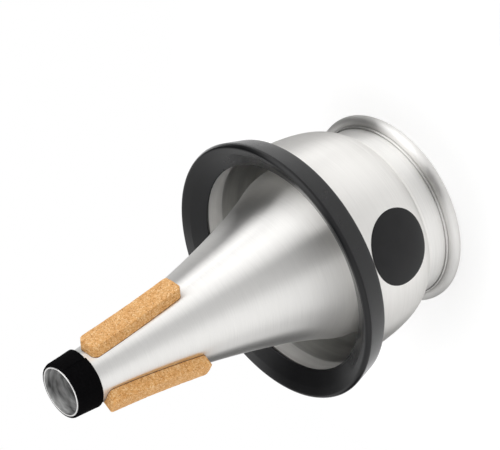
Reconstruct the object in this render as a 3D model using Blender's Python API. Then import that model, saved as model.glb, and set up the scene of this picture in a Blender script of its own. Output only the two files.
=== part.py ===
"""Adjustable cup mute for a trumpet.

The mute stands on its rear end. Z runs up its axis to the open small end, and the
foot of the rolled bead stands on Z = 0. Lengths are in metres. Stations called
"from the mouth" are measured down the axis from the small end's rim.
"""

import bpy
import bmesh
from math import acos, asin, cos, hypot, pi, radians, sin, sqrt, tan
from mathutils import Matrix, Vector, geometry

# Whole mute
SEGMENTS = 52            # facets round every turned piece
GAP = 0.0003             # clearance between pieces that seat on each other

# Body: mouth, flared cone, shoulder and drum, spun from one sheet
SHEET = 0.0008
MOUTH_R = 0.0106
DRUM_R = 0.0381
DRUM_LENGTH = 0.0410     # straight part, down to the foot
SHOULDER_LENGTH = 0.0150
SHOULDER_RISE = 0.0025   # from the flare's end out to the drum
FLARE_END = 0.1225       # from the mouth, where the flare meets the shoulder
FLARE_END_R = DRUM_R - SHOULDER_RISE
FLARE_SLOPE_FRONT = 0.050
FLARE_SLOPE_END = 0.469
FLARE_HANDLE_FRONT = 0.0432
FLARE_HANDLE_END = 0.0225
LENGTH = FLARE_END + SHOULDER_LENGTH + DRUM_LENGTH

# End plate: dished disc with a rolled bead and a skirt that closes over the drum
SKIRT_SHEET = 0.0005
SKIRT_RISE = 0.0008      # how far the skirt's edge stands above the roll
BEAD_TUBE_R = 0.0025
BEAD_REACH = 0.0012      # from the skirt's outer face to the middle of the roll
FOOT_FLAT = 0.0002       # how much of the roll is pressed flat underneath
SEAT_RISE = 0.0007       # from the middle of the roll to the seat of the drum's end
DISH_Z = 0.0080          # underside of the dish
DISH_CORNER_R = 0.0030
BEAD_R = DRUM_R + GAP + SKIRT_SHEET + BEAD_REACH
BEAD_Z = BEAD_TUBE_R - FOOT_FLAT
SEAT_Z = BEAD_Z + SEAT_RISE
SKIRT_TOP_Z = BEAD_Z + BEAD_TUBE_R + SKIRT_RISE

# Cup shell: spun bowl with a hole and a short collar at its back
CUP_STAND = 0.0087       # from the skirt's edge to the collar's, as the cup is set
CUP_DEPTH = 0.0454       # from the front edge to the start of the collar
CUP_FLARE = 0.0104       # how much wider than the drum its front edge is
CUP_TAPER = 0.069        # how fast the wall draws in at its front edge
CUP_HANDLE_FRONT = 0.0134
CUP_HANDLE_BACK = 0.0116
CUP_BACK_ANGLE = radians(51.5)
COLLAR_SHEET = 0.0006
COLLAR_LENGTH = 0.0013
COLLAR_FILLET_R = 0.0005
CUP_BACK = LENGTH - SKIRT_TOP_Z - CUP_STAND - COLLAR_LENGTH - COLLAR_FILLET_R
CUP_FRONT = CUP_BACK - CUP_DEPTH
CUP_FRONT_R = DRUM_R + CUP_FLARE

# Rubber ring on the cup's front edge; its depths run back from its front face
RING_REACH = 0.0074      # how far it stands in front of the cup's edge
RING_LENGTH = 0.0126
RING_OVERHANG = 0.0090   # from the cup's edge out to the ring's widest place
RING_TAPER = 0.0029      # how much narrower its back is
RING_LEDGE = 0.0022      # from the cup's edge in to the bore
RING_BORE_DEPTH = 0.0058
RING_CREASE_DEPTH = 0.0018
RING_CREASE_INSET = 0.0049
RING_LIP = 0.0010        # how far the lip reaches behind the cup's edge
RING_LIP_EDGE = 0.0007   # thickness of the lip at the bore
RING_FRONT = CUP_FRONT - RING_REACH
RING_OUTER_R = CUP_FRONT_R + RING_OVERHANG
RING_BACK_R = RING_OUTER_R - RING_TAPER
RING_CREASE_R = RING_OUTER_R - RING_CREASE_INSET
RING_BORE_R = CUP_FRONT_R - RING_LEDGE

# Felt lining in the cup's hole
LINING_LENGTH = 0.0055
LINING_INSET = 0.0018    # from its back to the start of the collar
LINING_FACE = 0.0022     # width of its front face

# Felt band round the neck
BAND_FRONT = 0.0006      # from the mouth
BAND_LENGTH = 0.0110
BAND_THICK = 0.0007
BAND_EDGE = 0.0002
BAND_SEAM_TURN = radians(-56)
BAND_OVERLAP = radians(46)
BAND_STEP = 0.0005
BAND_SETBACK = 0.0007    # how far the outer end's rear corner lies short of the rest

# Cork strips on the cone
CORK_COUNT = 3
CORK_TURN = radians(-42)
CORK_STAND = 0.0022      # from the band's rear edge
CORK_FRONT = BAND_FRONT + BAND_LENGTH + CORK_STAND
CORK_LENGTH = 0.0455
CORK_WIDTH = 0.0098
CORK_THICK_FRONT = 0.0045
CORK_THICK_REAR = 0.0040
CORK_CORNER_FRONT_R = 0.0030
CORK_CORNER_REAR_R = 0.0016
CORK_EDGE = 0.0003       # bevel round the outer face
CORK_CROWN = 0.0003


def up(station):
    """Height of a station that is measured from the mouth."""
    return LENGTH - station


def curve(start, start_handle, end_handle, end, steps):
    """Points (r, z) of a cubic curve."""
    corners = [Vector((p[0], p[1], 0.0)) for p in (start, start_handle, end_handle, end)]
    return [(p.x, p.y) for p in geometry.interpolate_bezier(*corners, steps)]


def arc(centre, radius, start, end, steps):
    """Points (r, z) of an arc, both ends included."""
    turns = [start + (end - start) * i / steps for i in range(steps + 1)]
    return [(centre[0] + radius * cos(a), centre[1] + radius * sin(a)) for a in turns]


def fillet(before, corner, after, radius, steps):
    """Points of the arc that rounds one corner of an outline."""
    here = Vector(corner)
    to_before = (Vector(before) - here).normalized()
    to_after = (Vector(after) - here).normalized()
    half = to_before.angle(to_after) / 2
    reach = radius / tan(half)
    centre = here + (to_before + to_after).normalized() * radius / sin(half)
    first = here + to_before * reach - centre
    sweep = first.angle_signed(here + to_after * reach - centre)
    return [tuple(centre + Matrix.Rotation(-sweep * i / steps, 2) @ first) for i in range(steps + 1)]


def rounded(corners):
    """Closed outline from (r, z, fillet radius, fillet steps); radius 0 keeps a corner sharp."""
    outline = []
    for i, (r, z, radius, steps) in enumerate(corners):
        before = corners[i - 1][:2]
        after = corners[(i + 1) % len(corners)][:2]
        outline += fillet(before, (r, z), after, radius, steps) if radius else [(r, z)]
    return outline


def inside(outline, thickness):
    """The other face of a sheet whose outer face runs from top to bottom."""
    face = []
    for i, (r, z) in enumerate(outline):
        r0, z0 = outline[max(i - 1, 0)]
        r1, z1 = outline[min(i + 1, len(outline) - 1)]
        run = hypot(r1 - r0, z1 - z0)
        face.append((r + (z1 - z0) / run * thickness, z - (r1 - r0) / run * thickness))
    return face


def radius_at(outline, z):
    """Radius of a turned face at one height; the outline runs from top to bottom."""
    for (r0, z0), (r1, z1) in zip(outline, outline[1:]):
        if z0 >= z >= z1 and z0 > z1:
            return r0 + (r1 - r0) * (z0 - z) / (z0 - z1)
    return outline[0][0] if z > outline[0][1] else outline[-1][0]


def material(name, colour, roughness, metallic):
    mat = bpy.data.materials.new(name)
    mat.use_nodes = True
    shader = mat.node_tree.nodes["Principled BSDF"]
    shader.inputs["Base Color"].default_value = (*colour, 1.0)
    shader.inputs["Roughness"].default_value = roughness
    shader.inputs["Metallic"].default_value = metallic
    mat.diffuse_color = (*colour, 1.0)
    return mat


def finish(name, bm, mat, sharp=radians(35)):
    """Turn a bmesh into a named, smooth shaded object."""
    bmesh.ops.remove_doubles(bm, verts=bm.verts, dist=1e-7)
    bmesh.ops.recalc_face_normals(bm, faces=bm.faces)
    mesh = bpy.data.meshes.new(name)
    bm.to_mesh(mesh)
    bm.free()
    mesh.shade_smooth()
    mesh.set_sharp_from_angle(angle=sharp)
    mesh.materials.append(mat)
    obj = bpy.data.objects.new(name, mesh)
    bpy.context.scene.collection.objects.link(obj)
    return obj


def turned(name, outline, mat, closed=True):
    """Spin an outline round the axis; an open outline starts and ends on the axis."""
    bm = bmesh.new()
    verts = [bm.verts.new((r, 0.0, z)) for r, z in outline]
    edges = [bm.edges.new(pair) for pair in zip(verts, verts[1:])]
    if closed:
        edges.append(bm.edges.new((verts[-1], verts[0])))
    bmesh.ops.spin(bm, geom=verts + edges, cent=(0, 0, 0), axis=(0, 0, 1), dvec=(0, 0, 0),
                   angle=2 * pi, steps=SEGMENTS, use_merge=True)
    return finish(name, bm, mat)


def lofted(name, rings, mat, ends_meet=False):
    """Skin a row of equal closed rings; the ends are capped, or joined into one loop."""
    bm = bmesh.new()
    loops = [[bm.verts.new(p) for p in ring] for ring in rings]
    pairs = list(zip(loops, loops[1:]))
    if ends_meet:
        pairs.append((loops[-1], loops[0]))
    for a, b in pairs:
        for i in range(len(a)):
            j = (i + 1) % len(a)
            bm.faces.new((a[i], a[j], b[j], b[i]))
    if not ends_meet:
        bm.faces.new(loops[0])
        bm.faces.new(loops[-1])
    return finish(name, bm, mat)


# Outer face of the body, from the mouth's rim down to the end of the drum
def body_face():
    start = (MOUTH_R, up(0.0))
    bend = (FLARE_END_R, up(FLARE_END))
    shoulder_end = FLARE_END + SHOULDER_LENGTH
    flare = curve(start,
                  (MOUTH_R + FLARE_SLOPE_FRONT * FLARE_HANDLE_FRONT, up(FLARE_HANDLE_FRONT)),
                  (FLARE_END_R - FLARE_SLOPE_END * FLARE_HANDLE_END,
                   up(FLARE_END - FLARE_HANDLE_END)),
                  bend, 13)
    rise = (DRUM_R - FLARE_END_R) / FLARE_SLOPE_END
    shoulder = curve(bend,
                     (FLARE_END_R + FLARE_SLOPE_END * rise * 0.75, up(FLARE_END + rise * 0.75)),
                     (DRUM_R, up(shoulder_end - 0.45 * SHOULDER_LENGTH)),
                     (DRUM_R, up(shoulder_end)), 6)
    return flare + shoulder[1:] + [(DRUM_R, SEAT_Z + GAP)]


# Outer face of the cup shell, from its front edge to the start of the collar
def cup_face():
    collar_r = DRUM_R + GAP + COLLAR_SHEET
    end = (collar_r + COLLAR_FILLET_R, up(CUP_BACK))
    wall = curve((CUP_FRONT_R, up(CUP_FRONT)),
                 (CUP_FRONT_R - CUP_TAPER * CUP_HANDLE_FRONT, up(CUP_FRONT + CUP_HANDLE_FRONT)),
                 (end[0] + CUP_HANDLE_BACK * sin(CUP_BACK_ANGLE),
                  end[1] + CUP_HANDLE_BACK * cos(CUP_BACK_ANGLE)),
                 end, 12)
    return wall


def build_body(face, mat):
    inner = inside(face, SHEET)
    inner[0] = (MOUTH_R - SHEET, up(0.0))
    inner[-1] = (DRUM_R - SHEET, SEAT_Z + GAP)
    edge = SHEET / 4
    rim = [(inner[0][0], up(edge)), (inner[0][0] + edge, up(0.0)),
           (face[0][0] - edge, up(0.0)), (face[0][0], up(edge))]
    return turned("body", rim + face[1:] + inner[:0:-1], mat)


def build_end_plate(mat):
    skirt_in = DRUM_R + GAP
    skirt_out = skirt_in + SKIRT_SHEET
    spigot = DRUM_R - SHEET - GAP
    bead = (BEAD_R, BEAD_Z)
    meets_skirt = acos((skirt_out - BEAD_R) / BEAD_TUBE_R)
    meets_floor = asin(BEAD_Z / BEAD_TUBE_R)
    roll = arc(bead, BEAD_TUBE_R, meets_skirt, -meets_floor, 10)
    under = arc(bead, BEAD_TUBE_R, meets_floor - pi, -pi, 3)
    dish_top = DISH_Z + SHEET
    dish_wall = spigot - SHEET
    outline = [(0.0, dish_top)]
    outline += fillet((0.0, dish_top), (spigot, dish_top), (spigot, SEAT_Z), DISH_CORNER_R, 4)
    outline += [(spigot, SEAT_Z), (skirt_in, SEAT_Z), (skirt_in, SKIRT_TOP_Z),
                (skirt_out, SKIRT_TOP_Z)]
    outline += roll + under
    outline += [(dish_wall, BEAD_Z + BEAD_TUBE_R / 2)]
    outline += fillet((dish_wall, BEAD_Z), (dish_wall, DISH_Z), (0.0, DISH_Z),
                      DISH_CORNER_R - SHEET, 4)
    outline += [(0.0, DISH_Z)]
    return turned("end_plate", outline, mat, closed=False)


def build_cup_shell(face, mat):
    collar_out = DRUM_R + GAP + COLLAR_SHEET
    collar_in = DRUM_R + GAP
    back = up(CUP_BACK + COLLAR_FILLET_R + COLLAR_LENGTH)
    inner = inside(face, SHEET)
    inner[0] = (CUP_FRONT_R - SHEET, up(CUP_FRONT))
    # Inside the hole the sheet turns down into the collar.
    inner = [p for p in inner if p[0] > collar_in + COLLAR_SHEET / 2]
    turn = arc((collar_out + COLLAR_FILLET_R, up(CUP_BACK + COLLAR_FILLET_R)),
               COLLAR_FILLET_R, pi / 2 + CUP_BACK_ANGLE / 2, pi, 3)
    edge = SHEET / 4
    front = [(inner[0][0], up(CUP_FRONT + edge)), (inner[0][0] + edge, up(CUP_FRONT)),
             (face[0][0] - edge, up(CUP_FRONT)), (face[0][0], up(CUP_FRONT + edge))]
    collar = turn + [(collar_out, back), (collar_in, back)]
    top_of_hole = (collar_in, inner[-1][1] - COLLAR_SHEET / 2)
    return turned("cup_shell", front + face[1:-1] + collar + [top_of_hole] + inner[:0:-1], mat)


def build_ring(cup_outer, mat):
    cup_inner = inside(cup_outer, SHEET)
    bore_front = RING_FRONT + RING_BORE_DEPTH
    back = up(RING_FRONT + RING_LENGTH)
    lip_end = up(CUP_FRONT + RING_LIP)
    seat = up(CUP_FRONT) + GAP
    outer_seat = cup_outer[0][0] + GAP
    inner_seat = cup_outer[0][0] - SHEET - GAP
    corners = [
        (RING_BORE_R, up(bore_front), 0.0005, 2),
        (RING_CREASE_R, up(RING_FRONT + RING_CREASE_DEPTH), 0, 1),
        (RING_OUTER_R - 0.0012, up(RING_FRONT), 0.0010, 3),
        (RING_OUTER_R, up(RING_FRONT + 0.0020), 0.0018, 2),
        (RING_BACK_R, back, 0.0010, 3),
        (radius_at(cup_outer, back) + GAP, back, 0, 1),
        (outer_seat, seat, 0, 1),
        (inner_seat, seat, 0, 1),
        (radius_at(cup_inner, lip_end) - GAP, lip_end, 0, 1),
        (RING_BORE_R, up(bore_front + RING_LIP_EDGE), 0.0002, 1),
    ]
    return turned("cup_edge_ring", rounded(corners), mat)


def build_lining(cup_outer, mat):
    cup_inner = inside(cup_outer, SHEET)
    bore = DRUM_R + GAP
    back = up(CUP_BACK - LINING_INSET)
    front = back + LINING_LENGTH
    steps = 3
    seat = []
    for i in range(steps + 1):
        z = front - LINING_FACE / 2 + (back - front + LINING_FACE / 2) * i / steps
        seat.append((radius_at(cup_inner, z) - GAP * 1.5, z))
    outline = [(bore, front), (bore + LINING_FACE, front)] + seat + [(bore, back)]
    return turned("cup_lining", outline, mat)


def build_cork(number, face, mat):
    """One strip that follows the cone, square to the axis in section, with rounded corners."""
    half = CORK_WIDTH / 2
    turn = [1 - cos(pi / 2 * i / 4) for i in range(5)]
    runs = 5
    straight = CORK_LENGTH - CORK_CORNER_FRONT_R - CORK_CORNER_REAR_R
    along = [CORK_CORNER_FRONT_R * t for t in turn]
    along += [CORK_CORNER_FRONT_R + straight * i / runs for i in range(1, runs)]
    along += [CORK_LENGTH - CORK_CORNER_REAR_R * t for t in reversed(turn)]
    rings = []
    for place in along:
        z = up(CORK_FRONT + place)
        share = place / CORK_LENGTH
        from_end = min(place, CORK_LENGTH - place)
        corner = CORK_CORNER_FRONT_R if place < CORK_LENGTH / 2 else CORK_CORNER_REAR_R
        width = half
        if from_end < corner:
            width -= corner - sqrt(corner ** 2 - (corner - from_end) ** 2)
        cone = radius_at(face, z)
        thick = CORK_THICK_FRONT + (CORK_THICK_REAR - CORK_THICK_FRONT) * share
        lower = max(0.0, 1.0 - from_end / CORK_EDGE) * CORK_EDGE
        top = cone + GAP + thick - lower
        ring = []
        for i in range(5):
            y = width * (i / 2 - 1)
            ring.append((sqrt((cone + GAP) ** 2 - y * y), y))
        flat = width - CORK_EDGE
        ring.append((top - CORK_EDGE - CORK_CROWN, width))
        for i in range(3):
            y = flat * (1 - i)
            ring.append((top - CORK_CROWN * (y / half) ** 2, y))
        ring.append((top - CORK_EDGE - CORK_CROWN, -width))
        rings.append([(x, y, z) for x, y in ring])
    cork = lofted(f"cork_strip_{number}", rings, mat)
    cork.rotation_euler.z = CORK_TURN - 2 * pi * (number - 1) / CORK_COUNT
    return cork


def build_band(face, mat):
    """Felt strip wrapped round the neck; its outer end lies over its inner end in a step."""
    turns = [2 * pi * i / SEGMENTS for i in range(SEGMENTS)]
    step_width = radians(2.0)
    ramp = radians(20)
    turns = sorted(turns + [step_width])
    rings = []
    for a in turns:
        rear = BAND_FRONT + BAND_LENGTH
        if a < step_width:
            lift = 0.0
        elif a <= BAND_OVERLAP:
            lift = BAND_STEP
            rear -= BAND_SETBACK * (1 - a / BAND_OVERLAP)
        else:
            lift = BAND_STEP * max(0.0, 1 - (a - BAND_OVERLAP) / ramp)
        inner = [(radius_at(face, up(s)) + GAP, up(s)) for s in (BAND_FRONT, rear)]
        top, low = [(r + BAND_THICK + lift, z) for r, z in inner]
        ring = [inner[0], (top[0] - BAND_EDGE, top[1]), (top[0], top[1] - BAND_EDGE),
                (low[0], low[1] + BAND_EDGE), (low[0] - BAND_EDGE, low[1]), inner[1]]
        rings.append([(r * cos(a), r * sin(a), z) for r, z in ring])
    band = lofted("neck_band", rings, mat, ends_meet=True)
    band.rotation_euler.z = BAND_SEAM_TURN
    return band


for old in list(bpy.data.objects):
    bpy.data.objects.remove(old, do_unlink=True)

body_outer = body_face()
cup_outer = cup_face()

build_body(body_outer, material("body_metal", (0.78, 0.78, 0.77), 0.28, 1.0))
build_end_plate(material("end_metal", (0.80, 0.80, 0.79), 0.18, 1.0))
build_cup_shell(cup_outer, material("cup_metal", (0.78, 0.77, 0.76), 0.28, 1.0))
build_ring(cup_outer, material("ring_rubber", (0.035, 0.036, 0.040), 0.45, 0.0))
build_lining(cup_outer, material("lining_felt", (0.10, 0.10, 0.10), 0.95, 0.0))
cork = material("cork", (0.68, 0.42, 0.20), 0.85, 0.0)
for number in range(1, CORK_COUNT + 1):
    build_cork(number, body_outer, cork)
build_band(body_outer, material("band_felt", (0.008, 0.008, 0.009), 0.95, 0.0))
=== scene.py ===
"""Looks of the adjustable cup mute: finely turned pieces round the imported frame, materials, light."""

from math import acos, asin, cos, hypot, pi, radians, sin, sqrt, tan

import bmesh
import bpy
from mathutils import Matrix, Quaternion, Vector, geometry, noise


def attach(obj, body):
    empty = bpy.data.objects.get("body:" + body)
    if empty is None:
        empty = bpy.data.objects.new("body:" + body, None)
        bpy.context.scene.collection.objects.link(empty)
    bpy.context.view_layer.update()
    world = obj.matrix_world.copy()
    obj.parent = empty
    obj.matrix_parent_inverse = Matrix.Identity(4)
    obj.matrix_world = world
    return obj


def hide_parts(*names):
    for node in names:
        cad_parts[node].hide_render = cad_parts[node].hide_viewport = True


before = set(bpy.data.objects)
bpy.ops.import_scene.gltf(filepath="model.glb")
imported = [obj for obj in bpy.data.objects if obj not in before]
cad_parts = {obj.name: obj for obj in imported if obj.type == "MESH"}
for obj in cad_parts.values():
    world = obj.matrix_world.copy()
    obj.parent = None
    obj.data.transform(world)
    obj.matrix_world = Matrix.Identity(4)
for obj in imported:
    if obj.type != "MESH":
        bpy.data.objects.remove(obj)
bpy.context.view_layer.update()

# Sizes of the frame, in metres; stations are measured from the mouth down the axis
LENGTH = 0.1785
GAP = 0.0003
SNUG_GAP = GAP / 3       # where rubber or felt lies on metal
SHEET = 0.0008

# Body: mouth, flared cone, rounded shoulder and straight drum
MOUTH_R = 0.0106
MOUTH_LAND = 0.00055     # width of the rim's flat face
MOUTH_BEVEL = 0.0006     # how deep the rim is bevelled inside
MOUTH_ROUND_R = 0.00012
MOUTH_CUT = 0.0002       # in front of this station the metal looks cut, not spun
SHEET_FROM_OUTSIDE = 0.0003    # stations where the rim's outline gives way to the sheet's faces
SHEET_FROM_INSIDE = 0.0007
FLARE_END, FLARE_END_R = 0.1225, 0.0356
FLARE_SLOPE_FRONT, FLARE_SLOPE_END = 0.050, 0.469
FLARE_HANDLE_FRONT, FLARE_HANDLE_END = 0.0432, 0.0225
SHOULDER_LENGTH = 0.0150
SHOULDER_PULL_FRONT = 0.75     # share of the way on along the flare's slope out to the drum
SHOULDER_PULL_END = 0.45       # share of the shoulder's length
DRUM_R = 0.0381
INSIDE_FROM = 0.3        # how far a face must look at the axis to count as the inside

# End plate: dish, skirt, and a rolled bead with a fine groove above it
BEAD_R, BEAD_TUBE_R, BEAD_Z = 0.0401, 0.0025, 0.0023
SKIRT_SHEET, SKIRT_TOP_Z, SEAT_Z = 0.0005, 0.0056, 0.0030
SKIRT_BEVEL = 0.0001
GROOVE_DEPTH, GROOVE_ABOVE, GROOVE_BELOW, GROOVE_SLOPE = 0.0003, 0.00032, 0.00004, 0.0001
DISH_Z, DISH_CORNER_R = 0.0080, 0.0030

# Cup shell
CUP_FRONT, CUP_FRONT_R, CUP_BACK = 0.1170, 0.0485, 0.1624
CUP_TAPER, CUP_HANDLE_FRONT, CUP_HANDLE_BACK = 0.069, 0.0134, 0.0116
CUP_BACK_ANGLE = radians(51.5)
CUP_EDGE = SHEET / 4
CUP_BRUSHED_TO = 0.1250  # station where the cup's inside gets duller
COLLAR_SHEET, COLLAR_LENGTH, COLLAR_FILLET_R = 0.0006, 0.0013, 0.0005
COLLAR_EDGE = 0.00015

# Rubber ring on the cup's front edge
RING_FRONT, RING_BACK = 0.1096, 0.1222
RING_OUTER_R, RING_BACK_R, RING_BORE_R = 0.0575, 0.0546, 0.0463
RING_BORE_FRONT, RING_CREASE, RING_CREASE_R = 0.1154, 0.1114, 0.0526
RING_FACE_INSET, RING_SIDE_DEPTH = 0.0012, 0.0020
RING_LIP, RING_LIP_EDGE = 0.0005, 0.0004
RING_BORE_ROUND, RING_CREASE_ROUND, RING_FACE_ROUND = 0.0005, 0.0005, 0.0010
RING_SIDE_ROUND, RING_BACK_ROUND, RING_HEEL_ROUND, RING_LIP_ROUND = 0.0018, 0.0010, 0.0003, 0.0002

# Felt lining in the cup's hole
LINING_LENGTH, LINING_BACK, LINING_FACE = 0.0055, 0.1606, 0.0022
LINING_SEAT_GAP = 0.00036

# Cork strips on the cone, and the glue under them
CORK_COUNT, CORK_TURN = 3, radians(-42)
CORK_FRONT, CORK_LENGTH, CORK_WIDTH = 0.0138, 0.0455, 0.0098
CORK_THICK_FRONT, CORK_THICK_REAR = 0.0045, 0.0040
CORK_CORNER_FRONT_R, CORK_CORNER_REAR_R = 0.0030, 0.0016
CORK_EDGE, CORK_CROWN = 0.00025, 0.0003
CORK_SMOOTH_FOOT = 0.0006
CORK_SHADED_BELOW = 0.6     # faces that look outwards less than this are the strip's sides, which get a darker copy of the cork as painted shade
GLUE_THICK, GLUE_LIFT, GLUE_SQUEEZE = 0.00012, 0.00001, 0.00012

# Felt band round the neck
BAND_FRONT, BAND_LENGTH, BAND_THICK = 0.0003, 0.0113, 0.0007
BAND_EDGE, BAND_FOOT_LIFT = 0.00015, 0.00004
BAND_SEAM_TURN, BAND_OVERLAP = radians(-56), radians(46)
BAND_STEP, BAND_SETBACK = 0.0005, 0.0007
BAND_STEP_FROM, BAND_STEP_TO, BAND_RAMP = radians(0.6), radians(2.6), radians(20)

# Round label on the cup
LABEL_STATION, LABEL_TURN, LABEL_R = 0.1419, radians(-108.8), 0.0160
LABEL_THICK, LABEL_LIFT = 0.00012, 0.00003
LABEL_EDGE_DROP = LABEL_THICK / 4
LABEL_FOOT_SHARE, LABEL_FOOT_LIFT = 1.002, 0.00002

# Steps of the fine meshes
SPIN_STEPS = 192
FLARE_STEPS, SHOULDER_STEPS, CUP_STEPS, LINING_STEPS = 60, 24, 48, 10
MOUTH_LAND_STEPS, MOUTH_ROUND_STEPS = 4, 5
BEAD_STEPS, BEAD_FOOT_STEPS, DISH_STEPS, COLLAR_STEPS = 28, 8, 12, 8
CORK_CORNER_STEPS, CORK_RUNS, CORK_ACROSS, CORK_UP, CORK_EDGE_STEPS = 14, 60, 20, 7, 4
BAND_AROUND, BAND_ALONG = 240, 26
LABEL_AROUND, LABEL_RINGS = 128, 26
LONGEST_METAL, LONGEST_RUBBER, LONGEST_LINING = 0.004, 0.0015, 0.0008
MERGE_DISTANCE = 1e-7

# Brushed metal: how fast its fine lines and its wide rings change round the axis
LINES_AROUND, RINGS_AROUND = 2.2, 1.2
RINGS_TO_LINES = 0.12    # how fast the rings change along the sheet, against the lines

# Uneven surfaces: layers of noise, each a scale and a height
LINING_PILE = [(1400, 0.00006)]
BAND_PILE = [(1700, 0.00004), (420, 0.00002)]
CORK_BUMPS = [(900, 0.00005), (300, 0.00005)]
CORK_PIT_SCALE, CORK_PIT_FROM, CORK_PIT_DEPTH = 750, 0.34, 0.0007
CORK_PIT_SHIFT = Vector((5, 3, 1))
CORK_NUMBER_SHIFT = (0.31, 0.17, 0.23)

# Camera at the photograph's viewing angle
CAMERA_AIM = Vector((0.02165, 0.0, 0.06616))
CAMERA_DISTANCE = 1.06044
CAMERA_ELEVATION = radians(31.84)
CAMERA_ROLL = radians(118.60)
CAMERA_LENS = 186.05
CAMERA_SENSOR = 36.0
CAMERA_NEAR, CAMERA_FAR = 0.05, 20.0

# Pale round floor that fades out into the white room
FLOOR_SOLID_R, FLOOR_R, FLOOR_STEPS = 0.075, 0.15, 96
FLOOR_Z = -0.00005
FLOOR_TONE, FLOOR_GLOW = 0.60, 0.50

# Light of the room. Azimuth 0 stands at +X and 90 at +Y, and all angles are in degrees. A
# negative strength is a dark card, which takes light away.
ROOM_LEVEL = 0.80
CARDS = [
    # azimuth, elevation, radius, half width of the soft edge, strength
    (91, 78, 21, 5, 1.95),
    (-29, 34, 33, 4, 1.26),
    (-1, -6, 13, 5, 0.88),
    (69, -40, 40, 4, 0.87),
    (-146, 17, 27, 15, 0.41),
    (130, 17, 22, 19, -0.12),
    (133, -11, 19, 7, -0.68),
    (36, 24, 34, 15, -0.68),
    (-76, 54, 25, 7, -0.80),
    (52, -45, 17, 6, -1.59),
]


# Outlines: lists of radius and height
def up(station):
    """Height of a station that is measured from the mouth."""
    return LENGTH - station


def curve(start, start_handle, end_handle, end, steps):
    corners = [Vector((*point, 0.0)) for point in (start, start_handle, end_handle, end)]
    return [(p.x, p.y) for p in geometry.interpolate_bezier(*corners, steps)]


def arc(centre, radius, start, end, steps):
    turns = [start + (end - start) * i / steps for i in range(steps + 1)]
    return [(centre[0] + radius * cos(a), centre[1] + radius * sin(a)) for a in turns]


def fillet(before, corner, after, radius, steps):
    """Arc that rounds a corner off between the points before and after it."""
    here = Vector(corner)
    to_before = (Vector(before) - here).normalized()
    to_after = (Vector(after) - here).normalized()
    half = to_before.angle(to_after) / 2
    reach = radius / tan(half)
    centre = here + (to_before + to_after).normalized() * radius / sin(half)
    first = here + to_before * reach - centre
    sweep = first.angle_signed(here + to_after * reach - centre)
    return [tuple(centre + Matrix.Rotation(-sweep * i / steps, 2) @ first) for i in range(steps + 1)]


def rounded(corners):
    """Outline through corners, each a radius, a height, its rounding and its steps."""
    outline = []
    for i, (r, z, rounding, steps) in enumerate(corners):
        before = corners[i - 1][:2]
        after = corners[(i + 1) % len(corners)][:2]
        outline += fillet(before, (r, z), after, rounding, steps) if rounding else [(r, z)]
    return outline


def inside(outline, thickness):
    """Inner face of a sheet whose outer face runs down along the outline."""
    face = []
    for i, (r, z) in enumerate(outline):
        r0, z0 = outline[max(i - 1, 0)]
        r1, z1 = outline[min(i + 1, len(outline) - 1)]
        run = hypot(r1 - r0, z1 - z0)
        face.append((r + (z1 - z0) / run * thickness, z - (r1 - r0) / run * thickness))
    return face


def radius_at(outline, z):
    for (r0, z0), (r1, z1) in zip(outline, outline[1:]):
        if z0 >= z >= z1 and z0 > z1:
            return r0 + (r1 - r0) * (z0 - z) / (z0 - z1)
    return outline[0][0] if z > outline[0][1] else outline[-1][0]


def divided(outline, longest, closed=True):
    """The same outline with long straight runs cut into shorter ones."""
    points = []
    for (r0, z0), (r1, z1) in zip(outline, outline[1:] + (outline[:1] if closed else [])):
        cuts = max(1, int(hypot(r1 - r0, z1 - z0) / longest))
        points += [(r0 + (r1 - r0) * i / cuts, z0 + (z1 - z0) * i / cuts) for i in range(cuts)]
    return points if closed else points + [outline[-1]]


def body_face():
    """Outer face of the body, from the mouth down to the seat of the drum."""
    bend = (FLARE_END_R, up(FLARE_END))
    flare = curve((MOUTH_R, up(0.0)),
                  (MOUTH_R + FLARE_SLOPE_FRONT * FLARE_HANDLE_FRONT, up(FLARE_HANDLE_FRONT)),
                  (FLARE_END_R - FLARE_SLOPE_END * FLARE_HANDLE_END,
                   up(FLARE_END - FLARE_HANDLE_END)),
                  bend, FLARE_STEPS)
    pull = (DRUM_R - FLARE_END_R) / FLARE_SLOPE_END * SHOULDER_PULL_FRONT
    shoulder_end = FLARE_END + SHOULDER_LENGTH
    shoulder = curve(bend,
                     (FLARE_END_R + FLARE_SLOPE_END * pull, up(FLARE_END + pull)),
                     (DRUM_R, up(shoulder_end - SHOULDER_LENGTH * SHOULDER_PULL_END)),
                     (DRUM_R, up(shoulder_end)), SHOULDER_STEPS)
    return flare + shoulder[1:] + [(DRUM_R, SEAT_Z + GAP)]


def cup_face():
    """Outer face of the cup, from its front edge to the start of the collar."""
    back_r = DRUM_R + GAP + COLLAR_SHEET + COLLAR_FILLET_R
    return curve((CUP_FRONT_R, up(CUP_FRONT)),
                 (CUP_FRONT_R - CUP_TAPER * CUP_HANDLE_FRONT, up(CUP_FRONT + CUP_HANDLE_FRONT)),
                 (back_r + CUP_HANDLE_BACK * sin(CUP_BACK_ANGLE),
                  up(CUP_BACK) + CUP_HANDLE_BACK * cos(CUP_BACK_ANGLE)),
                 (back_r, up(CUP_BACK)), CUP_STEPS)


body_outer = body_face()
cup_outer = cup_face()
cup_inner = inside(cup_outer, SHEET)


# Meshes
def finish_mesh(name, bm, mat, sharp=radians(40)):
    bmesh.ops.remove_doubles(bm, verts=bm.verts, dist=MERGE_DISTANCE)
    bmesh.ops.recalc_face_normals(bm, faces=bm.faces)
    mesh = bpy.data.meshes.new(name)
    bm.to_mesh(mesh)
    bm.free()
    mesh.shade_smooth()
    mesh.set_sharp_from_angle(angle=sharp)
    mesh.materials.append(mat)
    obj = bpy.data.objects.new(name, mesh)
    bpy.context.scene.collection.objects.link(obj)
    return obj


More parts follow.
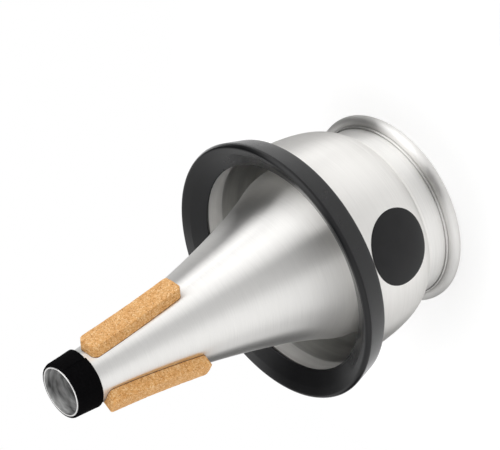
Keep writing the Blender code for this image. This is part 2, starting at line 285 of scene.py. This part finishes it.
def turned(name, outline, mat, closed=True, sharp=radians(40)):
    bm = bmesh.new()
    verts = [bm.verts.new((r, 0.0, z)) for r, z in outline]
    edges = [bm.edges.new(pair) for pair in zip(verts, verts[1:])]
    if closed:
        edges.append(bm.edges.new((verts[-1], verts[0])))
    bmesh.ops.spin(bm, geom=verts + edges, cent=(0, 0, 0), axis=(0, 0, 1), dvec=(0, 0, 0),
                   angle=2 * pi, steps=SPIN_STEPS, use_merge=True)
    return finish_mesh(name, bm, mat, sharp)


def skin(bm, loops, ends_meet):
    pairs = list(zip(loops, loops[1:]))
    if ends_meet:
        pairs.append((loops[-1], loops[0]))
    for a, b in pairs:
        for i in range(len(a)):
            j = (i + 1) % len(a)
            bm.faces.new((a[i], a[j], b[j], b[i]))


def lofted(sections, ends_meet=False):
    """Mesh through sections with equal counts of points, closed by end caps or on itself."""
    bm = bmesh.new()
    loops = [[bm.verts.new(point) for point in section] for section in sections]
    skin(bm, loops, ends_meet)
    if not ends_meet:
        bm.faces.new(loops[0])
        bm.faces.new(loops[-1])
        bmesh.ops.triangulate(bm, faces=[f for f in bm.faces if len(f.verts) > 4])
    return bm


def uneven(point, layers):
    return sum(noise.noise(point * scale) * height for scale, height in layers)


def push_out(bm, height_at):
    """Move each vertex along its normal by the height that its place gets."""
    bm.normal_update()
    for v in bm.verts:
        v.co += v.normal * height_at(v.co)


def outwards(face):
    """Above zero where a face of a turned piece looks away from the axis, below where at it."""
    return face.center.x * face.normal.x + face.center.y * face.normal.y


# Materials
def opaque(colour):
    return (*colour, 1)


def grey(value):
    return (value, value, value)


def darker(colour, share):
    return [c * (1 - share) for c in colour]


class Nodes:
    """A node tree, with short calls for the nodes that the materials share."""

    def __init__(self, owner):
        owner.use_nodes = True
        self.tree = owner.node_tree

    def feed(self, name, inputs):
        """Set the inputs of one of the tree's first nodes."""
        self.fill(self.tree.nodes[name], inputs)

    def fill(self, node, inputs):
        """Link each input that gets a socket, and set the others to their value."""
        for key, value in inputs.items():
            if isinstance(value, bpy.types.NodeSocket):
                self.tree.links.new(value, node.inputs[key])
            else:
                node.inputs[key].default_value = value

    def add(self, kind, inputs, **settings):
        """Add a node and return its outputs."""
        node = self.tree.nodes.new("ShaderNode" + kind)
        for key, value in settings.items():
            setattr(node, key, value)
        self.fill(node, inputs)
        return node.outputs

    def place(self):
        """The point's own place on the object, in metres."""
        return self.add("TexCoord", {})["Object"]

    def noise(self, vector, scale, detail, roughness=0.5, output="Fac"):
        inputs = {"Vector": vector, "Scale": scale, "Detail": detail, "Roughness": roughness}
        return self.add("TexNoise", inputs)[output]

    def ramp(self, factor, *stops):
        """Colours that run between stops, each a position and a colour."""
        node = self.tree.nodes.new("ShaderNodeValToRGB")
        self.fill(node, {"Fac": factor})
        elements = node.color_ramp.elements
        for element, (position, colour) in ((elements[0], stops[0]), (elements[1], stops[-1])):
            element.position = position
            element.color = opaque(colour)
        for position, colour in stops[1:-1]:
            elements.new(position).color = opaque(colour)
        return node.outputs["Color"]

    def spread(self, value, low, high):
        """A value between 0 and 1, stretched to run from low to high."""
        return self.add("MapRange", {"Value": value, "To Min": low, "To Max": high})["Result"]

    def bump(self, height, strength, distance):
        inputs = {"Height": height, "Strength": strength, "Distance": distance}
        return self.add("Bump", inputs)["Normal"]

    def multiply(self, first, second):
        """Product of two colours."""
        return self.add("Mix", {"Factor": 1.0, "A": first, "B": second},
                        data_type="RGBA", blend_type="MULTIPLY")["Result"]

    def scale(self, vector, factor):
        return self.add("VectorMath", {0: vector, "Scale": factor}, operation="SCALE")["Vector"]

    def length(self, vector):
        return self.add("VectorMath", {0: vector}, operation="LENGTH")["Value"]

    def math(self, operation, *terms):
        return self.add("Math", dict(enumerate(terms)), operation=operation)["Value"]


def new_material(name):
    mat = bpy.data.materials.new(name)
    return mat, Nodes(mat)


def round_axis(nodes, around, along):
    """Texture coordinates that change slowly round the axis and fast along the sheet."""
    place = nodes.add("SeparateXYZ", {0: nodes.place()})
    flat = nodes.add("CombineXYZ", {"X": place["X"], "Y": place["Y"]})["Vector"]
    unit = nodes.add("VectorMath", {0: flat}, operation="NORMALIZE")["Vector"]
    ring = nodes.add("SeparateXYZ", {0: nodes.scale(unit, around)})
    run = nodes.math("SUBTRACT", place["Z"], nodes.length(flat))
    fast = nodes.math("MULTIPLY", run, along)
    return nodes.add("CombineXYZ", {"X": ring["X"], "Y": ring["Y"], "Z": fast})["Vector"]


def brushed(name, colour, rough, grain, anisotropy, depth, rings=0.06, edge=0.35, dull=0.0,
            patches=None, painted_shade=None):
    """Spun aluminium: fine lines round the axis, faint tonal rings or patches, painted shade at one
    end.

    grain sets how close the lines lie and depth how deep, and rings is how much darker the dark
    rings are. edge tints the glancing reflections, and dull is the share that isn't metallic.
    patches gives the rings another scale round and along the sheet. The last argument paints shade that
    darkens the colour towards one end: the height where the shade is darkest, the height where it ends,
    and what is left of the colour there.
    """
    mat, nodes = new_material(name)
    wide_around, wide_along = patches or (RINGS_AROUND, RINGS_TO_LINES * grain)
    lines = nodes.noise(round_axis(nodes, LINES_AROUND, grain), scale=1.0, detail=3.0)
    wide = nodes.noise(round_axis(nodes, wide_around, wide_along), scale=1.0, detail=2.0)
    tone = nodes.ramp(wide, (0.3, darker(colour, rings)), (0.7, colour))
    fine = nodes.ramp(lines, (0.3, grey(0.92)), (0.7, grey(1.0)))
    surface = nodes.multiply(tone, fine)
    # Painted shade: the colour darkens towards one end, most at the first height.
    if painted_shade:
        dark_z, unshaded_z, left = painted_shade
        height = nodes.add("SeparateXYZ", {0: nodes.place()})["Z"]
        share = nodes.add("MapRange", {"Value": height, "From Min": dark_z, "From Max": unshaded_z,
                                       "To Min": left, "To Max": 1.0})["Result"]
        surface = nodes.scale(surface, share)
    nodes.feed("Principled BSDF", {
        "Base Color": surface,
        "Roughness": nodes.spread(lines, rough * 0.85, rough * 1.2),
        "Metallic": 1.0 - dull,
        "Specular Tint": opaque(grey(edge)),
        "Anisotropic": anisotropy,
        "Anisotropic Rotation": 0.25,
        "Tangent": nodes.add("Tangent", {}, direction_type="RADIAL", axis="Z")["Tangent"],
        "Normal": nodes.bump(lines, strength=depth, distance=0.00002),
    })
    return mat


def rubber():
    """Moulded black rubber: satin, slightly dusty, with very fine pores."""
    mat, nodes = new_material("rubber_satin")
    place = nodes.place()
    dust = nodes.noise(place, scale=90.0, detail=5.0)
    pores = nodes.noise(place, scale=2600.0, detail=2.0)
    nodes.feed("Principled BSDF", {
        "Base Color": nodes.ramp(dust, (0.35, (0.0018, 0.0019, 0.0024)),
                                 (0.75, (0.0034, 0.0035, 0.0043))),
        "Roughness": nodes.spread(dust, 0.22, 0.30),
        "Specular IOR Level": 0.36,
        "Normal": nodes.bump(pores, strength=0.3, distance=0.00003),
    })
    return mat


def felt(name, dark, light, sheen, gloss=0.15):
    """Short dense pile: matte, mottled, with a faint sheen at grazing angles."""
    mat, nodes = new_material(name)
    pile = nodes.noise(nodes.place(), scale=1500.0, detail=4.0, roughness=0.7)
    nodes.feed("Principled BSDF", {
        "Base Color": nodes.ramp(pile, (0.35, dark), (0.75, light)),
        "Roughness": 0.95,
        "Specular IOR Level": gloss,
        "Sheen Weight": sheen,
        "Sheen Roughness": 0.5,
        "Sheen Tint": opaque((0.35, 0.35, 0.37)),
        "Normal": nodes.bump(pile, strength=0.8, distance=0.00015),
    })
    return mat


def cork_material(name, tint):
    """Agglomerated cork: pale and tan granules, small dark specks and pits. The tint dims the colour;
    below 1 it is painted shade for the strip's sides.
    """
    mat, nodes = new_material(name)
    place = nodes.place()
    bend = nodes.noise(place, scale=900.0, detail=2.0, output="Color")
    bent = nodes.add("Mix", {"Factor": 0.0012, "A": place, "B": bend}, data_type="VECTOR")["Result"]
    grains = nodes.add("TexVoronoi", {"Vector": bent, "Scale": 2100.0, "Randomness": 1.0},
                       feature="F1")
    grain = nodes.add("SeparateColor", {0: grains["Color"]})
    granules = nodes.ramp(grain["Red"], (0.0, (0.59, 0.28, 0.086)), (0.2, (0.76, 0.405, 0.148)),
                          (0.7, (0.86, 0.49, 0.20)), (1.0, (0.98, 0.70, 0.40)))
    clouds = nodes.noise(place, scale=260.0, detail=3.0)
    dim = [c * t for c, t in zip((0.90, 0.86, 0.82), tint)]
    clouded = nodes.multiply(granules, nodes.ramp(clouds, (0.3, dim), (0.7, tint)))
    specks = nodes.noise(place, scale=1500.0, detail=2.0)
    speck = nodes.ramp(specks, (0.665, grey(0.0)), (0.72, grey(0.85)))
    spotted = nodes.add("Mix", {"Factor": speck, "A": clouded, "B": opaque((0.30, 0.095, 0.022))},
                        data_type="RGBA")["Result"]
    height = nodes.math("SUBTRACT", grain["Green"], speck)
    nodes.feed("Principled BSDF", {
        "Base Color": spotted,
        "Roughness": 0.82,
        "Specular IOR Level": 0.25,
        "Normal": nodes.bump(height, strength=0.45, distance=0.0001),
    })
    return mat


def plain(name, colour, rough, spot, scale, gloss=0.5):
    """Even surface with a slight mottle: glue, vinyl."""
    mat, nodes = new_material(name)
    mottle = nodes.noise(nodes.place(), scale=scale, detail=3.0)
    nodes.feed("Principled BSDF", {
        "Base Color": nodes.ramp(mottle, (0.3, darker(colour, spot)), (0.7, colour)),
        "Roughness": nodes.spread(mottle, rough * 0.9, rough * 1.15),
        "Specular IOR Level": gloss,
    })
    return mat


def floor_material():
    """White floor that stays white in the picture and in reflections, and keeps the shadow."""
    mat, nodes = new_material("floor_white")
    ray = nodes.add("LightPath", {})
    seen = nodes.math("MAXIMUM", ray["Is Camera Ray"], ray["Is Glossy Ray"])
    nodes.feed("Principled BSDF", {
        "Base Color": opaque(grey(FLOOR_TONE)),
        "Roughness": 0.9,
        "Specular IOR Level": 0.0,
        "Emission Color": opaque(grey(1.0)),
        "Emission Strength": nodes.math("MULTIPLY", seen, FLOOR_GLOW),
    })
    fade = nodes.add("MapRange", {"Value": nodes.length(nodes.place()),
                                  "From Min": FLOOR_SOLID_R, "From Max": FLOOR_R},
                     interpolation_type="SMOOTHSTEP")["Result"]
    solid = nodes.tree.nodes["Principled BSDF"].outputs["BSDF"]
    clear = nodes.add("BsdfTransparent", {})["BSDF"]
    blend = nodes.add("MixShader", {0: fade, 1: solid, 2: clear})["Shader"]
    nodes.feed("Material Output", {"Surface": blend})
    return mat


# Body and end plate
def build_body(mat, mat_inside, mat_rim):
    bore_edge = (MOUTH_R - SHEET, up(MOUTH_BEVEL))
    land_edge = (MOUTH_R - MOUTH_LAND, up(0.0))
    outer_edge = (MOUTH_R, up(0.0))
    rim = [bore_edge]
    rim += fillet(bore_edge, land_edge, outer_edge, MOUTH_ROUND_R / 2, MOUTH_LAND_STEPS)
    rim += fillet(land_edge, outer_edge, body_outer[1], MOUTH_ROUND_R, MOUTH_ROUND_STEPS)
    outer = [p for p in body_outer if p[1] < up(SHEET_FROM_OUTSIDE)]
    inner = [p for p in inside(body_outer, SHEET) if p[1] < up(SHEET_FROM_INSIDE)]
    inner[-1] = (DRUM_R - SHEET, SEAT_Z + GAP)
    obj = turned("body_spun", divided(rim + outer + inner[::-1], LONGEST_METAL), mat)
    obj.data.materials.append(mat_inside)
    obj.data.materials.append(mat_rim)
    for face in obj.data.polygons:
        if face.center.z > up(MOUTH_CUT):
            face.material_index = 2
        elif outwards(face) < -INSIDE_FROM * face.center.xy.length:
            face.material_index = 1
    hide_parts("body")
    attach(obj, "mute_body")


def build_end_plate(mat):
    skirt_in = DRUM_R + GAP
    skirt_out = skirt_in + SKIRT_SHEET
    spigot = DRUM_R - SHEET - GAP
    bead = (BEAD_R, BEAD_Z)
    meets_skirt = acos((skirt_out - BEAD_R) / BEAD_TUBE_R)
    meets_floor = asin(BEAD_Z / BEAD_TUBE_R)
    roll = arc(bead, BEAD_TUBE_R, meets_skirt, -meets_floor, BEAD_STEPS)
    under = arc(bead, BEAD_TUBE_R, meets_floor - pi, -pi, BEAD_FOOT_STEPS)
    groove_r, groove_z = skirt_out - GROOVE_DEPTH, roll[0][1]
    dish_top = DISH_Z + SHEET
    dish_wall = spigot - SHEET
    outline = [(0.0, dish_top)]
    outline += fillet((0.0, dish_top), (spigot, dish_top), (spigot, SEAT_Z),
                      DISH_CORNER_R, DISH_STEPS)
    outline += [(spigot, SEAT_Z), (skirt_in, SEAT_Z)]
    outline += [(skirt_in, SKIRT_TOP_Z - SKIRT_BEVEL), (skirt_in + SKIRT_BEVEL, SKIRT_TOP_Z),
                (skirt_out - SKIRT_BEVEL, SKIRT_TOP_Z), (skirt_out, SKIRT_TOP_Z - SKIRT_BEVEL)]
    outline += [(skirt_out, groove_z + GROOVE_ABOVE),
                (groove_r, groove_z + GROOVE_ABOVE - GROOVE_SLOPE), (groove_r, groove_z - GROOVE_BELOW)]
    outline += roll + under
    outline += [(dish_wall, BEAD_Z + BEAD_TUBE_R / 2)]
    outline += fillet((dish_wall, BEAD_Z), (dish_wall, DISH_Z), (0.0, DISH_Z),
                      DISH_CORNER_R - SHEET, DISH_STEPS)
    outline += [(0.0, DISH_Z)]
    obj = turned("end_plate_rolled", divided(outline, LONGEST_METAL, closed=False), mat, closed=False)
    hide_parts("end_plate")
    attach(obj, "mute_body")


# Cup
def build_cup_shell(mat, mat_inside, mat_deep):
    collar_in = DRUM_R + GAP
    collar_out = collar_in + COLLAR_SHEET
    back = up(CUP_BACK + COLLAR_FILLET_R + COLLAR_LENGTH)
    front_in, front_out = CUP_FRONT_R - SHEET, cup_outer[0][0]
    front = [(front_in, up(CUP_FRONT + CUP_EDGE)), (front_in + CUP_EDGE, up(CUP_FRONT)),
             (front_out - CUP_EDGE, up(CUP_FRONT)), (front_out, up(CUP_FRONT + CUP_EDGE))]
    collar = arc((collar_out + COLLAR_FILLET_R, up(CUP_BACK + COLLAR_FILLET_R)),
                 COLLAR_FILLET_R, pi / 2 + CUP_BACK_ANGLE / 2, pi, COLLAR_STEPS)
    collar += [(collar_out, back + COLLAR_EDGE), (collar_out - COLLAR_EDGE, back),
               (collar_in + COLLAR_EDGE, back), (collar_in, back + COLLAR_EDGE)]
    inner = [p for p in cup_inner if p[0] > collar_in + COLLAR_SHEET / 2]
    top_of_hole = (collar_in, inner[-1][1] - COLLAR_SHEET / 2)
    outline = front + cup_outer[1:-1] + collar + [top_of_hole] + inner[:0:-1]
    obj = turned("cup_shell_spun", outline, mat)
    obj.data.materials.append(mat_inside)
    obj.data.materials.append(mat_deep)
    for face in obj.data.polygons:
        if outwards(face) < 0:
            face.material_index = 1 if face.center.z > up(CUP_BRUSHED_TO) else 2
    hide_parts("cup_shell")
    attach(obj, "cup")


def build_ring(mat):
    lip_end = up(CUP_FRONT + RING_LIP)
    seat = up(CUP_FRONT) + GAP
    corners = [
        (RING_BORE_R, up(RING_BORE_FRONT), RING_BORE_ROUND, 8),
        (RING_CREASE_R, up(RING_CREASE), RING_CREASE_ROUND, 5),
        (RING_OUTER_R - RING_FACE_INSET, up(RING_FRONT), RING_FACE_ROUND, 8),
        (RING_OUTER_R, up(RING_FRONT + RING_SIDE_DEPTH), RING_SIDE_ROUND, 8),
        (RING_BACK_R, up(RING_BACK), RING_BACK_ROUND, 8),
        (radius_at(cup_outer, up(RING_BACK)) + SNUG_GAP, up(RING_BACK), RING_HEEL_ROUND, 3),
        (cup_outer[0][0] + GAP, seat, 0, 1),
        (cup_outer[0][0] - SHEET - GAP, seat, 0, 1),
        (radius_at(cup_inner, lip_end) - SNUG_GAP, lip_end, 0, 1),
        (RING_BORE_R, up(RING_BORE_FRONT + RING_LIP_EDGE), RING_LIP_ROUND, 4),
    ]
    outline = divided(rounded(corners), LONGEST_RUBBER)
    obj = turned("cup_ring_moulded", outline, mat, sharp=radians(50))
    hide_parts("cup_edge_ring")
    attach(obj, "cup")


def build_lining(mat):
    bore = DRUM_R + SNUG_GAP
    front, back = up(LINING_BACK - LINING_LENGTH), up(LINING_BACK)
    seat_front = front - LINING_FACE / 2
    heights = [seat_front + (back - seat_front) * i / LINING_STEPS for i in range(LINING_STEPS + 1)]
    seat = [(radius_at(cup_inner, z) - LINING_SEAT_GAP, z) for z in heights]
    outline = [(bore, front), (bore + LINING_FACE, front)] + seat + [(bore, back)]
    obj = turned("cup_lining_felt", divided(outline, LONGEST_LINING), mat, sharp=radians(70))
    for v in obj.data.vertices:
        widen = 1 + uneven(v.co, LINING_PILE) / DRUM_R
        v.co.x *= widen
        v.co.y *= widen
    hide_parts("cup_lining")
    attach(obj, "cup_slider")


def build_label(mat):
    """Plain round label that lies on the curved wall, with a bare face."""
    runs = [0.0]
    for (r0, z0), (r1, z1) in zip(cup_outer, cup_outer[1:]):
        runs.append(runs[-1] + hypot(r1 - r0, z1 - z0))
    # The middle lies on the outline's first point behind the label's station
    middle_run = next(run for run, point in zip(runs, cup_outer) if point[1] <= up(LABEL_STATION))

    def on_wall(along, across, lift):
        """Point above the wall, at distances along and across it from the label's middle."""
        run = middle_run + along
        i = max(k for k in range(len(runs) - 1) if runs[k] <= run)
        (r0, z0), (r1, z1) = cup_outer[i], cup_outer[i + 1]
        step = hypot(r1 - r0, z1 - z0)
        share = (run - runs[i]) / (runs[i + 1] - runs[i])
        r = r0 + (r1 - r0) * share - (z1 - z0) / step * lift
        z = z0 + (z1 - z0) * share + (r1 - r0) / step * lift
        turn = LABEL_TURN + across / r0
        return (r * cos(turn), r * sin(turn), z)

    def circle(radius, lift):
        turns = [2 * pi * i / LABEL_AROUND for i in range(LABEL_AROUND)]
        return [bm.verts.new(on_wall(radius * cos(t), radius * sin(t), lift)) for t in turns]

    bm = bmesh.new()
    face_lift = LABEL_LIFT + LABEL_THICK
    middle = bm.verts.new(on_wall(0, 0, face_lift))
    loops = [circle(LABEL_R * k / LABEL_RINGS, face_lift) for k in range(1, LABEL_RINGS)]
    loops.append(circle(LABEL_R, face_lift - LABEL_EDGE_DROP))
    loops.append(circle(LABEL_R * LABEL_FOOT_SHARE, LABEL_FOOT_LIFT))
    for i in range(LABEL_AROUND):
        bm.faces.new((middle, loops[0][i], loops[0][(i + 1) % LABEL_AROUND]))
    skin(bm, loops, False)
    obj = finish_mesh("label_disc", bm, mat, radians(60))
    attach(obj, "cup")


# Corks
def cork_places():
    """Distances from a strip's front end, close together along its rounded corners."""
    bend = [1 - cos(pi / 2 * i / CORK_CORNER_STEPS) for i in range(CORK_CORNER_STEPS + 1)]
    straight = CORK_LENGTH - CORK_CORNER_FRONT_R - CORK_CORNER_REAR_R
    places = [CORK_CORNER_FRONT_R * share for share in bend]
    places += [CORK_CORNER_FRONT_R + straight * i / CORK_RUNS for i in range(1, CORK_RUNS)]
    places += [CORK_LENGTH - CORK_CORNER_REAR_R * share for share in reversed(bend)]
    return places


def cork_half_width(place):
    from_end = min(place, CORK_LENGTH - place)
    corner = CORK_CORNER_FRONT_R if place < CORK_LENGTH / 2 else CORK_CORNER_REAR_R
    if from_end >= corner:
        return CORK_WIDTH / 2
    return CORK_WIDTH / 2 - corner + sqrt(corner ** 2 - (corner - from_end) ** 2)


def across(half):
    return [half * (2 * i / CORK_ACROSS - 1) for i in range(CORK_ACROSS + 1)]


def strip_section(place):
    """Curved foot on the cone, flat sides, a small round along both top edges."""
    z = up(CORK_FRONT + place)
    half = cork_half_width(place)
    cone = radius_at(body_outer, z)
    thick = CORK_THICK_FRONT + (CORK_THICK_REAR - CORK_THICK_FRONT) * place / CORK_LENGTH
    drop = max(0.0, 1.0 - min(place, CORK_LENGTH - place) / CORK_EDGE)
    top = cone + GAP + thick - drop ** 2 * CORK_EDGE
    foot = [(sqrt((cone + GLUE_THICK) ** 2 - y * y), y) for y in across(half)]
    low, high = foot[-1][0], top - CORK_EDGE - CORK_CROWN
    side = [low + (high - low) * i / CORK_UP for i in range(1, CORK_UP + 1)]
    turns = [pi / 2 * i / CORK_EDGE_STEPS for i in range(1, CORK_EDGE_STEPS)]
    edge = [(high + CORK_EDGE * sin(t), half - CORK_EDGE * (1 - cos(t))) for t in turns]
    ring = foot + [(x, half) for x in side] + edge
    ring += [(top - CORK_CROWN * (2 * y / CORK_WIDTH) ** 2, -y) for y in across(half - CORK_EDGE)]
    ring += [(x, -y) for x, y in reversed(edge)] + [(x, -half) for x in reversed(side)]
    return [(x, y, z) for x, y in ring]


def glue_section(place):
    """Thin film between the cone and the strip, squeezed out a little past its sides."""
    z = up(CORK_FRONT + place)
    half = cork_half_width(place) + GLUE_SQUEEZE
    low = radius_at(body_outer, z) + GLUE_LIFT
    high = low + GLUE_THICK
    ring = [(sqrt(low * low - y * y), y) for y in across(half)]
    ring += [(sqrt(high * high - y * y), -y) for y in across(half)]
    return [(x, y, z) for x, y in ring]


def build_cork(number, mat, mat_shaded_sides, mat_glue):
    shift = Vector([number * step for step in CORK_NUMBER_SHIFT])

    def grain_height(co):
        """Bumps and pits of the sanded faces; the foot stays smooth."""
        if hypot(co.x, co.y) < radius_at(body_outer, co.z) + CORK_SMOOTH_FOOT:
            return 0.0
        point = co + shift
        pit = max(0.0, noise.noise(point * CORK_PIT_SCALE + CORK_PIT_SHIFT) - CORK_PIT_FROM)
        return uneven(point, CORK_BUMPS) - pit * CORK_PIT_DEPTH

    bm = lofted([strip_section(place) for place in cork_places()])
    push_out(bm, grain_height)
    strip = finish_mesh(f"cork_granular_{number}", bm, mat, radians(60))
    # Painted shade: the strip's sides get the darker copy of the cork.
    strip.data.materials.append(mat_shaded_sides)
    for face in strip.data.polygons:
        face.material_index = int(face.normal.x < CORK_SHADED_BELOW)
    bm = lofted([glue_section(place) for place in cork_places()])
    film = finish_mesh(f"cork_glue_{number}", bm, mat_glue, radians(60))
    turn = CORK_TURN - 2 * pi * (number - 1) / CORK_COUNT
    for piece in (strip, film):
        piece.data.transform(Matrix.Rotation(turn, 4, "Z"))
        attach(piece, "mute_body")
    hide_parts(f"cork_strip_{number}")


# Neck band
def band_section(turn):
    """Outer face with rounded edges, then the foot on the cone, at a turn from the seam."""
    front, rear = BAND_FRONT, BAND_FRONT + BAND_LENGTH
    if turn <= BAND_STEP_FROM:
        lift = 0.0
    elif turn <= BAND_OVERLAP:
        lift = BAND_STEP * min(1.0, (turn - BAND_STEP_FROM) / (BAND_STEP_TO - BAND_STEP_FROM))
        rear -= BAND_SETBACK * (1 - turn / BAND_OVERLAP)
    else:
        lift = BAND_STEP * max(0.0, 1 - (turn - BAND_OVERLAP) / BAND_RAMP)
    ring = []
    for i in range(BAND_ALONG + 1):
        station = front + (rear - front) * i / BAND_ALONG
        r = radius_at(body_outer, up(station)) + GAP + BAND_THICK + lift
        from_end = min(station - front, rear - station)
        if from_end < BAND_EDGE:
            r -= BAND_EDGE - sqrt(max(0.0, BAND_EDGE ** 2 - (BAND_EDGE - from_end) ** 2))
        ring.append((r, up(station)))
    for station in (rear, front):
        ring.append((radius_at(body_outer, up(station)) + BAND_FOOT_LIFT, up(station)))
    return [(r * cos(turn), r * sin(turn), z) for r, z in ring]


def band_pile(co):
    """Height of the pile on the band's free faces; the foot stays smooth."""
    free = hypot(co.x, co.y) > radius_at(body_outer, co.z) + GAP
    return uneven(co, BAND_PILE) if free else 0.0


def build_band(mat):
    """Felt strip wrapped round the neck; its outer end lies over its inner end in a step."""
    turns = [2 * pi * i / BAND_AROUND for i in range(BAND_AROUND)] + [BAND_STEP_FROM, BAND_STEP_TO]
    bm = lofted([band_section(turn) for turn in sorted(turns)], ends_meet=True)
    push_out(bm, band_pile)
    obj = finish_mesh("neck_band_felt", bm, mat, radians(80))
    obj.data.transform(Matrix.Rotation(BAND_SEAM_TURN, 4, "Z"))
    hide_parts("neck_band")
    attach(obj, "mute_body")


# Camera, floor and room
def build_camera():
    back = Vector((0, -cos(CAMERA_ELEVATION), sin(CAMERA_ELEVATION)))
    data = bpy.data.cameras.new("camera")
    data.lens = CAMERA_LENS
    data.sensor_width = CAMERA_SENSOR
    data.clip_start = CAMERA_NEAR
    data.clip_end = CAMERA_FAR
    camera = bpy.data.objects.new("camera", data)
    bpy.context.scene.collection.objects.link(camera)
    camera.location = CAMERA_AIM + back * CAMERA_DISTANCE
    camera.rotation_mode = "QUATERNION"
    facing = (-back).to_track_quat("-Z", "Y")
    camera.rotation_quaternion = facing @ Quaternion((0, 0, 1), -CAMERA_ROLL)
    bpy.context.scene.camera = camera


def build_floor():
    bm = bmesh.new()
    bmesh.ops.create_circle(bm, cap_ends=True, segments=FLOOR_STEPS, radius=FLOOR_R)
    mesh = bpy.data.meshes.new("floor")
    bm.to_mesh(mesh)
    bm.free()
    mesh.materials.append(floor_material())
    floor = bpy.data.objects.new("floor", mesh)
    bpy.context.scene.collection.objects.link(floor)
    floor.location.z = FLOOR_Z


def build_room():
    """White room with round cards: the camera sees plain white, and the cards light the rest."""
    world = bpy.data.worlds.new("studio")
    bpy.context.scene.world = world
    nodes = Nodes(world)
    direction = nodes.add("TexCoord", {})["Generated"]
    light = ROOM_LEVEL
    for azimuth, elevation, radius, edge, strength in CARDS:
        a, e = radians(azimuth), radians(elevation)
        centre = (cos(a) * cos(e), sin(a) * cos(e), sin(e))
        nearness = nodes.add("VectorMath", {0: direction, 1: centre}, operation="DOT_PRODUCT")["Value"]
        card = nodes.add("MapRange", {"Value": nearness, "From Min": cos(radians(radius + edge)),
                                      "From Max": cos(radians(radius - edge))},
                         interpolation_type="SMOOTHSTEP")["Result"]
        light = nodes.math("MULTIPLY_ADD", card, strength, light)
    light = nodes.math("MAXIMUM", light, 0.0)
    seen = nodes.add("LightPath", {})["Is Camera Ray"]
    shown = nodes.add("Mix", {"Factor": seen, "A": light, "B": 1.0}, data_type="FLOAT")["Result"]
    nodes.feed("Background", {"Color": opaque(grey(1.0)), "Strength": shown})


build_body(
    brushed("aluminium_brushed", (0.952, 0.942, 0.92), rough=0.33, grain=4200, anisotropy=1.0,
            depth=0.25, rings=0.025),
    # inside of the mouth: painted shade, darkest at the rim and gone 4 mm in
    brushed("aluminium_inside", (0.98, 0.98, 0.975), rough=0.50, grain=1500, anisotropy=0.6,
            depth=0.5, rings=0.82, dull=0.5, patches=(1.3, 380.0), painted_shade=(up(0.0), up(0.0040), 0.6)),
    brushed("aluminium_cut", (0.95, 0.94, 0.93), rough=0.35, grain=2000, anisotropy=0.0,
            depth=0.1, edge=0.9))
build_end_plate(
    brushed("aluminium_bright", (0.925, 0.915, 0.895), rough=0.38, grain=3600, anisotropy=1.0,
            depth=0.15, rings=0.025, edge=0.05))
build_cup_shell(
    brushed("aluminium_cup", (0.962, 0.947, 0.92), rough=0.33, grain=4200, anisotropy=1.0,
            depth=0.25, rings=0.025),
    brushed("aluminium_cup_inside", (0.97, 0.96, 0.94), rough=0.30, grain=2500, anisotropy=1.0,
            depth=0.3, rings=0.15, dull=0.4),
    brushed("aluminium_cup_deep", (0.88, 0.88, 0.86), rough=0.30, grain=1500, anisotropy=0.8,
            depth=0.4, rings=0.25, dull=0.05))
build_ring(rubber())
build_lining(felt("felt_grey", dark=grey(0.05), light=grey(0.11), sheen=0.1))
build_label(plain("label_vinyl", (0.012, 0.012, 0.013), rough=0.42, spot=0.25, scale=160.0, gloss=0.22))
cork = cork_material("cork_sanded", tint=(1.0, 1.0, 1.0))
# darker copy of the cork for the strip's sides: painted shade
cork_shaded_sides = cork_material("cork_shaded_sides", tint=(0.93, 0.90, 0.84))
glue = plain("glue_brown", (0.13, 0.040, 0.015), rough=0.5, spot=0.5, scale=500.0)
for number in range(1, CORK_COUNT + 1):
    build_cork(number, cork, cork_shaded_sides, glue)
build_band(felt("felt_black", dark=(0.0015, 0.0014, 0.0017), light=(0.0045, 0.0042, 0.0048),
                sheen=0.0, gloss=0.04))
build_camera()
build_floor()
build_room()

bpy.context.scene.view_settings.view_transform = "Standard"
